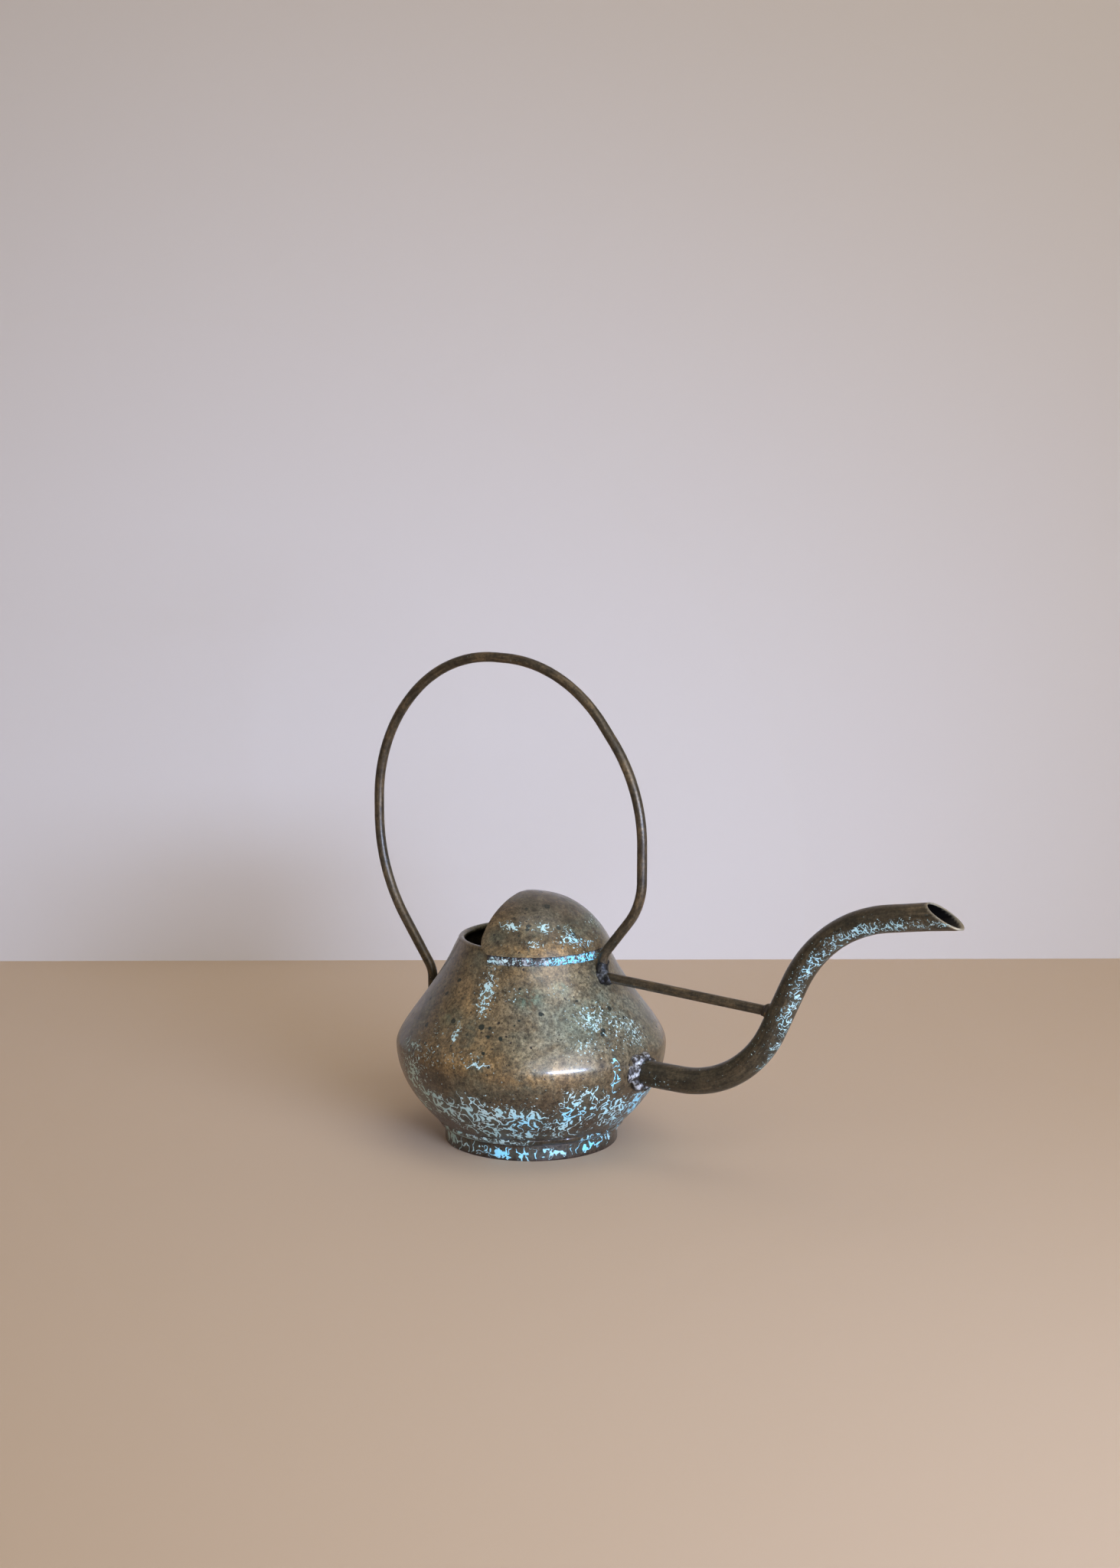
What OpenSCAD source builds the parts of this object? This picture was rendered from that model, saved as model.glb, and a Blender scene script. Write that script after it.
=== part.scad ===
// Long-spouted watering can in sheet copper.
// A round-bellied vessel stands on a foot ring. A fixed half-dome hood covers the front of its
// mouth, a bent rod hoop is its handle, and a second rod stays the long bent spout.
// Every joint is soldered, so nothing moves.
// The origin is the centre of the foot where it stands, +X runs along the spout and +Z is up.

/* [Vessel] */
// Widest diameter of the belly
belly_d = 150; // [125:1:190]
// Height of the widest place above the ground
belly_z = 55; // [46:1:66]
// Diameter where the shoulder meets the neck
neck_d = 85; // [74:0.5:100]
// Height where the shoulder meets the neck
neck_z = 109.5; // [100:0.5:132]
// Thickness of the sheet that the vessel is made of
sheet_t = 1; // [0.8:0.1:1.4]

/* [Foot] */
// Outer diameter of the foot ring
foot_d = 96; // [84:1:112]
// Height of the foot ring
foot_h = 9.5; // [7:0.5:14]
// Thickness of the strip that the foot ring is made of
foot_t = 1.4; // [1.2:0.1:2]

/* [Mouth] */
// Distance by which the neck narrows from the shoulder to the lip
neck_taper = 2.25; // [0.5:0.25:5]
// Height of the neck from the shoulder to the top of the lip
neck_h = 6; // [5:0.5:10]
// Diameter of the wire that the lip is rolled round
rim_wire_d = 1.6; // [1.2:0.1:2.2]

/* [Hood] */
// Distance that the hood's lower edge stands out past the neck
hood_over = 1.3; // [0.8:0.1:2.5]
// Height of the hood from its lower edge to its crown
hood_h = 27.5; // [20:0.5:36]
// Height of the hood's lower edge above the shoulder
hood_lift = 3.3; // [2:0.1:5]
// Distance that the hood reaches behind the axis of the can
hood_back = 5; // [0:0.5:10]
// Radius of the hood's two lower corners
hood_corner_r = 9; // [5:0.5:12]
// Thickness of the hood's sheet
hood_t = 1; // [0.8:0.1:1.4]

/* [Spout] */
// Outer diameter of the spout tube
spout_d = 14.4; // [12:0.2:18]
// Wall of the spout tube
spout_wall = 1; // [0.8:0.1:1.5]
// Height of the spout where it leaves the belly
spout_z = 49; // [40:1:58]
// Length that the tube stands in past the belly's widest radius
spout_inset = 4.5; // [4:0.5:6]
// Level run from the belly to the corner of the first bend
spout_run = 64.6; // [60:0.1:90]
// Slope of the rising run, in degrees
spout_rise_a = 64.5; // [58:0.5:72]
// Length of the rising run from corner to corner
spout_rise = 109; // [100:1:140]
// Slope of the last run, in degrees
spout_end_a = 9.7; // [5:0.1:15]
// Length of the last run from its corner to the middle of the tip
spout_end = 71.1; // [65:0.1:90]
// Bend radius where the spout turns up
spout_low_r = 63.5; // [50:0.5:66]
// Bend radius where the spout levels out
spout_high_r = 74.5; // [55:0.5:78]
// Distance that the collar of solder reaches out along the tube
root_collar = 3.5; // [2:0.5:5]
// Angle between the tube and the slanting cut of its tip, in degrees
tip_a = 40; // [30:1:60]

/* [Handle] */
// Diameter of the rod that the hoop and the brace are made of
rod_d = 5.5; // [4.5:0.1:7]
// Height of the top of the hoop above the ground
handle_h = 271; // [220:1:340]
// Distance that the hoop's rod reaches out behind the belly
handle_back = 31.7; // [20:0.1:50]
// Distance of the front of the hoop inside the belly's widest radius
handle_inset = 1.4; // [0:0.1:10]
// Gap between the hood's edge and the front foot of the hoop
front_gap = 1.6; // [0.5:0.1:5]
// Height of the front foot's bend above the place where that foot lands on the shoulder
front_foot_h = 6.6; // [6:0.1:15]
// Distance of the rear foot of the hoop inside the belly's widest radius
rear_foot = 6; // [4:0.5:12]
// Height of the rear foot's bend above the place where that foot lands on the shoulder
rear_foot_h = 18; // [12:0.5:30]
// Bend radius just above either foot of the hoop
foot_bend_r = 14; // [8:1:20]
// Distance from the corner of the spout's first bend to where the brace meets the rising run
brace_meet = 50.6; // [45:0.1:70]
// Diameter of the lumps of solder on the rods
lump_d = 10; // [9:0.5:14]

/* [Hidden] */

$fn = 96;
BLOCK_FN = 240;      // finer steps for the blocks that shape the solder
STEPS = 12;          // points along each curve of a profile
FAR = 400;           // larger than the whole can, for cutting blocks
OVER = 20;           // length by which a cutter runs past what it cuts
BEND_SHARE = 0.49;   // most of a run that the bend at either end of it may take
LAP = 0.3;           // length by which a straight run enters the bend that it joins
SWELL = 0.1;         // extra diameter of a bend, so that it closes round the straight run's end

copper = "#7a5f3a";
dark_copper = "#5f4a2e";
rod_copper = "#54432c";
solder = "#8f9a94";

belly_r = belly_d / 2;
neck_r = neck_d / 2;
mouth_r = neck_r - neck_taper;
hood_r = neck_r + hood_over;
foot_r = foot_d / 2;
rod_r = rod_d / 2;
lip_r = rim_wire_d / 2 + sheet_t;
rim_z = neck_z + neck_h;
lip_x = mouth_r - lip_r;
lip_z = rim_z - lip_r;
hood_z = neck_z + hood_lift;
crown_z = hood_z + hood_h;

// A point, and the leftward normal, on the cubic curve with the four control points c
function on_curve(c, t) =
    pow(1 - t, 3) * c[0] + 3 * t * pow(1 - t, 2) * c[1] + 3 * t * t * (1 - t) * c[2] + pow(t, 3) * c[3];
function slope(c, t) =
    pow(1 - t, 2) * (c[1] - c[0]) + 2 * t * (1 - t) * (c[2] - c[1]) + t * t * (c[3] - c[2]);
function unit(v) = v / norm(v);
function left_of(v) = [-v[1], v[0]];

// Points along a curve, each moved sideways by a thickness
function offset_curve(c, inward) =
    [for (i = [0 : STEPS]) on_curve(c, i / STEPS) + inward * left_of(unit(slope(c, i / STEPS)))];
function backwards(p) = [for (i = [len(p) - 1 : -1 : 0]) p[i]];
function without_first(p) = [for (i = [1 : len(p) - 1]) p[i]];

// The vessel's outline, as [radius, height]: the bowl from foot to belly, then the shoulder
bowl_curve = [
    [foot_r - 0.1, foot_h], [foot_r + 5, foot_h + 3.5],
    [belly_r, belly_z - 23], [belly_r, belly_z]
];
shoulder_curve = [
    [belly_r, belly_z], [belly_r, belly_z + 10.2],
    [neck_r + 0.43 * (belly_r - neck_r), neck_z - 0.54 * (neck_z - belly_z)], [neck_r, neck_z]
];
vessel_side = concat(offset_curve(bowl_curve, 0), without_first(offset_curve(shoulder_curve, 0)));
inner_side = concat(
    offset_curve(bowl_curve, sheet_t), without_first(offset_curve(shoulder_curve, sheet_t)));
hood_curve = [[hood_r, hood_z], [hood_r - 4, hood_z + 7], [0.68 * hood_r, crown_z - 1.8], [0, crown_z]];
hood_side = offset_curve(hood_curve, 0);
hood_inside = offset_curve(hood_curve, hood_t);

// Height at which the shoulder has a given radius
function shoulder_height(r) = lookup(r, [for (p = offset_curve(shoulder_curve, 0)) [p[0], p[1]]]);

// Routes of the tube and the rods, as [x, z, bend radius] at each corner; a radius of 0 gives the
// widest bend that the runs on either side allow
function heading(a) = [cos(a), sin(a)];
spout_corner = [belly_r + spout_run, spout_z];
spout_turn = spout_corner + spout_rise * heading(spout_rise_a);
spout_tip = spout_turn + spout_end * heading(spout_end_a);

function spout_route(inside, past) = let (last = spout_tip + past * heading(spout_end_a)) [
    [belly_r - inside, spout_z, 0],
    [spout_corner[0], spout_corner[1], spout_low_r],
    [spout_turn[0], spout_turn[1], spout_high_r],
    [last[0], last[1], 0]
];

hoop_back = -belly_r - handle_back;
hoop_front = belly_r - handle_inset;
hoop_top = handle_h - rod_r;
rear_foot_x = rear_foot - belly_r;
front_foot_x = hood_r + front_gap + rod_r;
front_land = [front_foot_x, shoulder_height(front_foot_x)];
rear_land = [rear_foot_x, shoulder_height(-rear_foot_x)];
hoop_route = [
    [rear_foot_x, rear_land[1] - OVER, 0],
    [rear_foot_x, rear_land[1] + rear_foot_h, foot_bend_r],
    [hoop_back, rim_z + 24, 0],
    [hoop_back, hoop_top - 52.2, 0],
    [hoop_back + 48.8, hoop_top, 0],
    [hoop_front - 50.3, hoop_top, 0],
    [hoop_front, hoop_top - 63.8, 0],
    [hoop_front, rim_z + 27.6, 0],
    [front_foot_x, front_land[1] + front_foot_h, foot_bend_r],
    [front_foot_x, front_land[1] - OVER, 0]
];

brace_start = front_land - [0, 0.8];
brace_end = spout_corner + brace_meet * heading(spout_rise_a);

// Angle inside a corner, halved, and the length of run that its bend takes
function half_corner(p, i) =
    acos(unit(corner(p, i - 1) - corner(p, i)) * unit(corner(p, i + 1) - corner(p, i))) / 2;
function corner(p, i) = [p[i][0], p[i][1]];
function is_end(p, i) = i == 0 || i == len(p) - 1;
function share(p, i, j) = norm(corner(p, i) - corner(p, j)) * (is_end(p, j) ? 1 : BEND_SHARE);
function room(p, i) = min(share(p, i, i - 1), share(p, i, i + 1));
function bend_reach(p, i) =
    is_end(p, i) ? 0
    : p[i][2] == 0 ? room(p, i)
    : min(room(p, i), p[i][2] / tan(half_corner(p, i)));

// Height at which the straight foot below a corner of the hoop ends and its bend starts
function foot_bend_start(i) = hoop_route[i][1] - bend_reach(hoop_route, i);

// Draws in the upright plane through the spout: x stays, and y becomes height
module upright() {
    rotate([90, 0, 0]) children();
}

module straight_run(from, to, d) {
    run = to - from;
    translate([from[0], from[1], 0]) rotate([0, 0, atan2(run[1], run[0])]) rotate([0, 90, 0])
        cylinder(h = norm(run), d = d);
}

module bend(p, i, d) {
    reach = bend_reach(p, i);
    half = half_corner(p, i);
    r = reach * tan(half);
    before = unit(corner(p, i - 1) - corner(p, i));
    after = unit(corner(p, i + 1) - corner(p, i));
    centre = corner(p, i) + unit(before + after) * r / sin(half);
    turns_left = before[1] * after[0] - before[0] * after[1] > 0;
    first = corner(p, i) + reach * (turns_left ? before : after) - centre;
    translate([centre[0], centre[1], 0]) rotate([0, 0, atan2(first[1], first[0])])
        rotate_extrude(angle = 180 - 2 * half) translate([r, 0]) circle(d = d + SWELL);
}

// A round bar that follows a route, with an arc at each corner
module bent_bar(p, d) {
    for (i = [1 : len(p) - 2]) bend(p, i, d);
    for (i = [0 : len(p) - 2]) {
        along = unit(corner(p, i + 1) - corner(p, i));
        from = corner(p, i) + (bend_reach(p, i) - (is_end(p, i) ? 0 : LAP)) * along;
        to = corner(p, i + 1) - (bend_reach(p, i + 1) - (is_end(p, i + 1) ? 0 : LAP)) * along;
        straight_run(from, to, d);
    }
}

module straight_cone(from, to, d_from, d_to) {
    run = to - from;
    upright() translate([from[0], from[1], 0]) rotate([0, 0, atan2(run[1], run[0])]) rotate([0, 90, 0])
        cylinder(h = norm(run), d1 = d_from, d2 = d_to);
}

// The room that the vessel fills, as one solid block up to the neck
module vessel_block() {
    rotate_extrude($fn = BLOCK_FN) polygon(concat([[0, foot_h]], vessel_side, [[lip_x, rim_z], [0, rim_z]]));
}

module hoop_bar() {
    upright() bent_bar(hoop_route, rod_d);
}

module spout_bar(d) {
    upright() bent_bar(spout_route(spout_inset, OVER), d);
}

// The straight rising run of the spout, where the brace meets it
module spout_rise_bar() {
    upright() straight_run(spout_corner, spout_turn, spout_d);
}

// The block in front of the slanting cut of the tip
module tip_cut() {
    upright() translate([spout_tip[0], spout_tip[1], 0]) rotate([0, 0, spout_end_a - tip_a])
        translate([-OVER * 2, 0, -OVER]) cube([OVER * 4, OVER * 3, OVER * 2]);
}

// Everything behind the hood's open side, with the room outside its rounded lower corner
module behind_hood() {
    upright() translate([0, 0, -FAR / 2]) linear_extrude(FAR) {
        translate([-hood_back - FAR, 0]) square([FAR, FAR]);
        difference() {
            translate([-hood_back - 1, 0]) square([hood_corner_r + 1, hood_z + hood_corner_r]);
            translate([-hood_back + hood_corner_r, hood_z + hood_corner_r]) circle(r = hood_corner_r);
        }
    }
}

module vessel_shell() {
    color(copper) difference() {
        union() {
            rotate_extrude() polygon(concat(
                vessel_side,
                [[mouth_r, lip_z], [mouth_r - sheet_t, lip_z]],
                backwards(inner_side)));
            rotate_extrude() translate([lip_x, lip_z]) circle(r = lip_r);
        }
        rotate_extrude() translate([lip_x, lip_z]) circle(d = rim_wire_d);
        spout_bar(spout_d);
    }
}

module base_disc() {
    color(dark_copper) translate([0, 0, foot_h - sheet_t]) cylinder(r = foot_r - foot_t, h = sheet_t);
}

module foot_ring() {
    color(copper) difference() {
        cylinder(r = foot_r, h = foot_h);
        translate([0, 0, -1]) cylinder(r = foot_r - foot_t, h = foot_h + 2);
    }
}

module rim_wire() {
    color(rod_copper) rotate_extrude() translate([lip_x, lip_z]) circle(d = rim_wire_d);
}

module hood() {
    color(copper) difference() {
        rotate_extrude()
            polygon(concat(hood_side, [[0, crown_z - hood_t]], without_first(backwards(hood_inside))));
        behind_hood();
    }
}

module spout_tube() {
    color(rod_copper) difference() {
        spout_bar(spout_d);
        upright() bent_bar(spout_route(spout_inset + OVER, 2 * OVER), spout_d - 2 * spout_wall);
        tip_cut();
    }
}

module handle_hoop() {
    color(rod_copper) difference() {
        hoop_bar();
        vessel_block();
    }
}

module brace_bar() {
    upright() straight_run(brace_start, brace_end, rod_d);
}

module spout_brace() {
    color(rod_copper) difference() {
        brace_bar();
        vessel_block();
        hoop_bar();
        spout_rise_bar();
    }
}

// The bead on the foot ring's top edge, up against the vessel's lowest steps
module foot_solder() {
    ring_edge = [foot_r, foot_h];
    bulge = (ring_edge + vessel_side[2]) / 2 + [0.6, -0.6];
    color(solder) rotate_extrude()
        polygon([ring_edge, bulge, vessel_side[2], vessel_side[1], vessel_side[0]]);
}

module base_solder() {
    inner_r = foot_r - foot_t;
    under = foot_h - sheet_t;
    color(solder) rotate_extrude()
        polygon([[inner_r - 2.2, under], [inner_r - 0.8, under - 0.8], [inner_r, under - 2.2], [inner_r, under]]);
}

// The wedge between the shoulder, the neck and the inside of the hood's lower edge
module hood_solder() {
    bend = [neck_r, neck_z];
    up_neck = 0.85 * ([mouth_r, lip_z] - bend);
    down_shoulder = 0.25 * (vessel_side[2 * STEPS - 1] - bend);
    up_hood = 0.4 * (hood_inside[1] - hood_inside[0]);
    color(solder) difference() {
        rotate_extrude() polygon([
            bend + down_shoulder, bend, bend + up_neck,
            hood_inside[0] + up_hood, hood_inside[0], hood_inside[0] + [0.9, -1.2]
        ]);
        behind_hood();
    }
}

// The collar of solder round the root of the spout
module spout_solder() {
    base_d = spout_d + 2 * root_collar + 4;
    color(solder) difference() {
        straight_cone([belly_r - 6, spout_z], [belly_r + root_collar, spout_z], base_d, spout_d + 1.2);
        vessel_block();
        upright() straight_run([belly_r - OVER, spout_z], [belly_r + OVER, spout_z], spout_d);
    }
}

module rear_foot_solder() {
    top = [rear_foot_x, min(rear_land[1] + lump_d / 2, foot_bend_start(1) - 1)];
    color(solder) difference() {
        straight_cone(rear_land - [0, lump_d / 2], top, lump_d + 3, rod_d + 1.4);
        vessel_block();
        upright() straight_run(rear_land - [0, OVER], top + [0, 1], rod_d);
    }
}

module front_foot_solder() {
    top = [front_foot_x, foot_bend_start(len(hoop_route) - 2) - 0.6];
    color(solder) difference() {
        straight_cone(front_land - [0, lump_d / 2 + 2], top, lump_d + 5, rod_d + 3);
        vessel_block();
        upright() straight_run(front_land - [0, OVER], top + [0, 0.5], rod_d);
        brace_bar();
    }
}

module brace_solder() {
    back = unit(brace_start - brace_end);
    color(solder) difference() {
        straight_cone(brace_end, brace_end + (spout_d / 2 + 5) * back, lump_d, rod_d + 1);
        spout_rise_bar();
        upright() straight_run(brace_end - 2 * back, brace_end + OVER * back, rod_d);
    }
}

vessel_shell();
base_disc();
foot_ring();
rim_wire();
hood();
spout_tube();
handle_hoop();
spout_brace();
foot_solder();
base_solder();
hood_solder();
spout_solder();
rear_foot_solder();
front_foot_solder();
brace_solder();
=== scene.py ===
"""Looks of the long-spouted copper watering can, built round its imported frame. Sizes are in millimetres
until a piece is finished, and the frame is in metres. The spout points along +X, and the camera stands
on the -Y side."""

import math

import bmesh
import bpy
from mathutils import Matrix, Vector, noise


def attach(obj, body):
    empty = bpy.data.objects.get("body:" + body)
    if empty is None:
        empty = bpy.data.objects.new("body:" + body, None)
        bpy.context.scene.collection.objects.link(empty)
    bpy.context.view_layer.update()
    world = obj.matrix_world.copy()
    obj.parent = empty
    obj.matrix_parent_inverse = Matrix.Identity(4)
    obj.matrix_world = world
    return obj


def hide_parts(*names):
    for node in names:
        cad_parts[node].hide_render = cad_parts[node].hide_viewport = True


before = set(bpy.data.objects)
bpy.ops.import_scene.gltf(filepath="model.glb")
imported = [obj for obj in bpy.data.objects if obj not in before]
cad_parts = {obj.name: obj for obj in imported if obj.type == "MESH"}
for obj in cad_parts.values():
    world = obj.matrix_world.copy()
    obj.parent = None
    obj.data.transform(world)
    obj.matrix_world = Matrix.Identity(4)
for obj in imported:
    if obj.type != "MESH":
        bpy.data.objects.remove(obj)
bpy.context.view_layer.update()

MM = 0.001
CAN_TURN = math.radians(36)  # how far the camera stands from a straight side view, towards the spout

# The vessel, as in the frame
BELLY_R, BELLY_Z = 75.0, 55.0
NECK_R, NECK_Z = 42.5, 109.5
FOOT_R, FOOT_H, FOOT_T = 48.0, 9.5, 1.4
SHEET_T = 1.0
LIP_R, LIP_X, LIP_Z = 1.8, 38.45, 113.7
RIM_Z = 115.5
WIRE_R = 0.8

# The hood
HOOD_R, HOOD_Z, CROWN_Z = 43.8, 112.8, 140.3
HOOD_BACK, HOOD_CORNER_R = 5.0, 9.0

# The spout and the brace: the spout runs out level, rises at RISE_A, and ends at END_A
TUBE_R, TUBE_WALL = 7.2, 1.0
SPOUT_Z, SPOUT_INSET, SPOUT_HOLE_R = 49.0, 4.5, 6.4
RISE_A, END_A, TIP_A = math.radians(64.5), math.radians(9.7), math.radians(40)
LEVEL_LENGTH, RISE_LENGTH, END_LENGTH = 64.6, 109, 71.1
TIP_SPARE = 14              # the tube is bent this much too long, and the slanting cut drops it
BRACE_UP = 50.6             # how far up the rising part the brace is soldered on
SPOUT_CORNER = Vector((BELLY_R + LEVEL_LENGTH, SPOUT_Z))

# The hoop's rod, its two upright parts, and its feet on the shoulder
ROD_R = 2.75
HOOP_TOP, HOOP_BACK_X, HOOP_FRONT_X = 268.25, -106.7, 73.6
FRONT_X, REAR_X = 48.15, -69.0
ROD_SPARE = 6               # the rod is bent this much too long, and the cut on the sheet drops it
BEND_SHARE = 0.49           # how much of a straight part one of its two bends may take

# How finely the tube and the rods are drawn: the sides round them, and the length of a step along
TUBE_SIDES, TUBE_STEP = 48, 1.6
ROD_SIDES, ROD_STEP = 28, 1.8


def heading(angle):
    return Vector((math.cos(angle), math.sin(angle)))


SPOUT_TURN = SPOUT_CORNER + RISE_LENGTH * heading(RISE_A)
SPOUT_TIP = SPOUT_TURN + END_LENGTH * heading(END_A)
BRACE_END = SPOUT_CORNER + BRACE_UP * heading(RISE_A)


def on_curve(c, t):
    """The point at t on the cubic curve with the control points c."""
    shares = ((1 - t) ** 3, 3 * t * (1 - t) ** 2, 3 * t * t * (1 - t), t**3)
    return sum((s * Vector(p) for s, p in zip(shares, c)), Vector((0, 0)))


# The control points of the three spun outlines, as (radius, height)
BOWL = [(FOOT_R - 0.1, FOOT_H), (FOOT_R + 5, FOOT_H + 3.5), (BELLY_R, BELLY_Z - 23), (BELLY_R, BELLY_Z)]
SHOULDER = [(BELLY_R, BELLY_Z), (BELLY_R, BELLY_Z + 10.2), (56.475, 80.07), (NECK_R, NECK_Z)]
DOME = [(HOOD_R, HOOD_Z), (HOOD_R - 4, HOOD_Z + 7), (0.68 * HOOD_R, CROWN_Z - 1.8), (0, CROWN_Z)]


def shoulder_z(radius):
    """The height at which the shoulder has that radius."""
    low, high = 0.0, 1.0
    for _ in range(30):
        mid = (low + high) / 2
        low, high = (mid, high) if on_curve(SHOULDER, mid).x > radius else (low, mid)
    return on_curve(SHOULDER, low).y


FRONT_LAND = Vector((FRONT_X, shoulder_z(FRONT_X)))
REAR_LAND = Vector((REAR_X, shoulder_z(-REAR_X)))

# Routes as (x, height, bend radius) at each corner, where 0 is the widest bend that has room
SPOUT_ROUTE = [
    (BELLY_R - SPOUT_INSET, SPOUT_Z, 0),
    (*SPOUT_CORNER, 63.5),
    (*SPOUT_TURN, 74.5),
    (*(SPOUT_TIP + TIP_SPARE * heading(END_A)), 0),
]
HOOP_ROUTE = [
    (REAR_X, REAR_LAND.y - ROD_SPARE, 0),
    (REAR_X, REAR_LAND.y + 18, 14),
    (HOOP_BACK_X, RIM_Z + 24, 0),
    (HOOP_BACK_X, HOOP_TOP - 52.2, 0),
    (-57.9, HOOP_TOP, 0),
    (23.3, HOOP_TOP, 0),
    (HOOP_FRONT_X, HOOP_TOP - 63.8, 0),
    (HOOP_FRONT_X, RIM_Z + 25.6, 38),
    (FRONT_X, FRONT_LAND.y + 11.5, 11),
    (FRONT_X, FRONT_LAND.y - ROD_SPARE, 0),
]
BRACE_ROUTE = [(*FRONT_LAND, 0), (*BRACE_END, 0)]


# ---------------------------------------------------------------- shaping


def ripple(at, size, offset=0.0):
    """A smooth random value from about -1 to 1, which changes over that many millimetres."""
    return noise.noise(Vector(at) / size + Vector((offset, offset * 1.7, offset * 0.6)))


def drawn_loop(bm, outline):
    """The corners and edges of a closed outline of (radius, height) points, in the upright plane."""
    verts = [bm.verts.new((x, 0, z)) for x, z in outline]
    return verts + [bm.edges.new((a, b)) for a, b in zip(verts, verts[1:] + verts[:1])]


def spun_ring(outline, steps):
    """A closed outline turned once about the can's axis."""
    bm = bmesh.new()
    bmesh.ops.spin(
        bm, geom=drawn_loop(bm, outline), cent=(0, 0, 0), axis=(0, 0, 1), angle=2 * math.pi,
        steps=steps, use_merge=True,
    )
    return bm


def close_up(bm, reach=0.001):
    """Merges doubles and turns every face outwards."""
    bmesh.ops.remove_doubles(bm, verts=bm.verts, dist=reach)
    bmesh.ops.recalc_face_normals(bm, faces=bm.faces)


def push(bm, shift):
    """Moves each corner by what shift says of its place."""
    moves = [Vector(shift(v.co)) for v in bm.verts]
    for v, move in zip(bm.verts, moves):
        v.co += move


def swell(bm, amount):
    """Moves each corner along its normal by what amount says of its place."""
    bm.normal_update()
    moves = [v.normal * amount(v.co) for v in bm.verts]
    for v, move in zip(bm.verts, moves):
        v.co += move


SHARP = math.radians(38)    # a crease above this angle stays crisp


def finish_piece(bm, name, material, nodes):
    """Turns a bmesh in millimetres into a piece of the can in metres, riding on the frame."""
    bmesh.ops.scale(bm, vec=(MM, MM, MM), verts=bm.verts)
    for f in bm.faces:
        f.smooth = True
    for e in bm.edges:
        e.smooth = len(e.link_faces) == 2 and e.calc_face_angle(0) < SHARP
    mesh = bpy.data.meshes.new(name)
    bm.to_mesh(mesh)
    bm.free()
    mesh.materials.append(material)
    piece = bpy.data.objects.new(name, mesh)
    bpy.context.scene.collection.objects.link(piece)
    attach(piece, "root")
    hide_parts(*nodes)


def along_route(route, step):
    """Stations along a route: the place, the heading in radians, and the length so far."""
    corners = [Vector(c[:2]) for c in route]
    last = len(corners) - 1
    here = corners[0]
    start = corners[1] - corners[0]
    facing = math.atan2(start.y, start.x)
    gone = 0.0
    stations = [(here.copy(), facing, gone)]

    def go_straight(to):
        nonlocal here, gone
        length = (to - here).length
        count = max(1, round(length / step))
        stations.extend(
            (here.lerp(to, k / count), facing, gone + length * k / count) for k in range(1, count + 1)
        )
        here = to.copy()
        gone += length

    for i in range(1, last):
        back, on = corners[i - 1] - corners[i], corners[i + 1] - corners[i]
        half = back.angle(on) / 2
        room_back = back.length * (1 if i == 1 else BEND_SHARE)
        room_on = on.length * (1 if i == last - 1 else BEND_SHARE)
        reach = min(room_back, room_on)
        if route[i][2]:
            reach = min(reach, route[i][2] / math.tan(half))
        radius = reach * math.tan(half)
        angle = math.pi - 2 * half
        side = 1 if back.cross(on) < 0 else -1
        go_straight(corners[i] + back.normalized() * reach)
        centre = here + side * radius * Vector((-math.sin(facing), math.cos(facing)))
        count = max(4, round(radius * angle / step))
        for k in range(1, count + 1):
            h = facing + side * angle * k / count
            place = centre - side * radius * Vector((-math.sin(h), math.cos(h)))
            stations.append((place, h, gone + radius * angle * k / count))
        here = stations[-1][0].copy()
        facing += side * angle
        gone += radius * angle
    go_straight(corners[last])
    return stations


def standing(place, h):
    """The matrix of a ring at a place, with its axis along the heading and its first side underneath."""
    return Matrix((
        (math.sin(h), 0, math.cos(h), place.x),
        (0, 1, 0, 0),
        (-math.cos(h), 0, math.sin(h), place.y),
        (0, 0, 0, 1),
    ))


def swept(route, radius, sides, step):
    """A round bar along a route. Its grain layer holds the place on the bar as if it were straight."""
    bm = bmesh.new()
    grain = bm.verts.layers.float_vector.new("grain")
    stations = along_route(route, step)
    ring = bmesh.ops.create_circle(bm, radius=radius, segments=sides)["verts"]
    for v in ring:
        v[grain] = v.co * MM
    before = standing(*stations[0][:2])
    bmesh.ops.transform(bm, matrix=before, verts=ring)
    edges = bm.edges[:]
    for place, h, gone in stations[1:]:
        made = bmesh.ops.extrude_edge_only(bm, edges=edges)["geom"]
        ring = [g for g in made if isinstance(g, bmesh.types.BMVert)]
        edges = [g for g in made if isinstance(g, bmesh.types.BMEdge)]
        now = standing(place, h)
        bmesh.ops.transform(bm, matrix=now @ before.inverted(), verts=ring)
        fresh = set(ring)
        edges = [e for e in edges if all(v in fresh for v in e.verts)]
        for v in ring:
            v[grain] = Vector((v[grain].x, v[grain].y, gone * MM))
        before = now
    return bm


def cap_ends(bm):
    """Closes the open ends of a bar or a bead."""
    open_edges = [e for e in bm.edges if len(e.link_faces) == 1]
    bmesh.ops.holes_fill(bm, edges=open_edges, sides=0)
    bmesh.ops.recalc_face_normals(bm, faces=bm.faces)


def cut_off(bm, place, towards):
    """Cuts a bar or a lump with a plane and drops the side that the plane's normal points to."""
    bmesh.ops.bisect_plane(
        bm, geom=bm.verts[:] + bm.edges[:] + bm.faces[:], plane_co=place, plane_no=towards,
        clear_outer=True, dist=0.0001,
    )


CUT_EDGE = math.radians(60)  # an edge sharper than this is one where the sheet was cut


def soft_edges(bm, width):
    """Rounds the edges where the sheet was cut."""
    bm.normal_update()
    cut = [e for e in bm.edges if len(e.link_faces) == 2 and e.calc_face_angle(0) > CUT_EDGE]
    bmesh.ops.bevel(
        bm, geom=cut, offset=width, offset_type="OFFSET", affect="EDGES", segments=2, profile=0.5,
        material=-1, clamp_overlap=True,
    )


PATCH_REACH = 6             # a patch ends where its square distance, in half widths, passes this


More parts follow.
